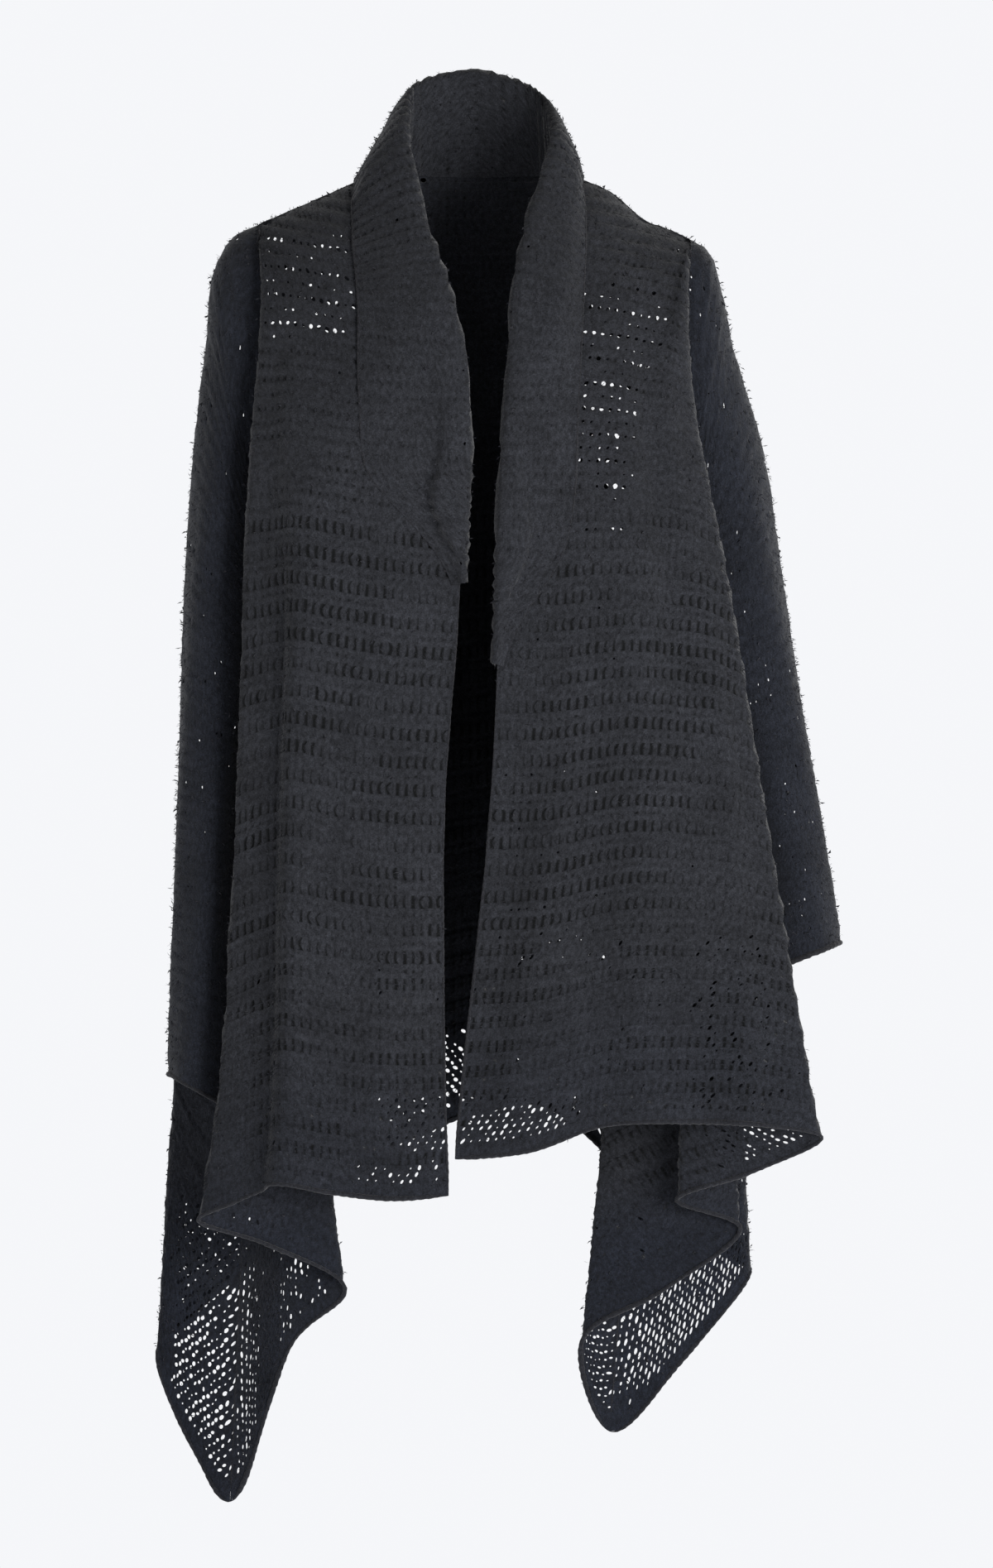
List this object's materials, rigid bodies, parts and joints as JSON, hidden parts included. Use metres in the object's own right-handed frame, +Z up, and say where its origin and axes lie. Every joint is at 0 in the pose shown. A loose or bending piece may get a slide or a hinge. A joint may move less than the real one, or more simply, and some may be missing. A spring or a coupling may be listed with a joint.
{
  "type": "open-front drape cardigan",
  "caption": "Open-front long-sleeved drape cardigan with a rolled shawl collar and low side points, hollow and shaped as worn.",
  "frame": {"origin": "midway between the two neck points, level with the shawl collar's fall where it meets the shoulders, at the depth of the shoulder seams", "axes": "+Z up, the wearer faces -Y, the wearer's left is at +X"},
  "size_m": [0.5549, 0.2747, 1.1617],
  "materials": {
    "knit": "fuzzy openwork knit, matt"
  },
  "bodies": {
    "root": {"front_right": "knit", "back": "knit", "front_left": "knit", "sleeve_right": "knit", "sleeve_left": "knit", "collar": "knit"}
  },
  "joints": []
}
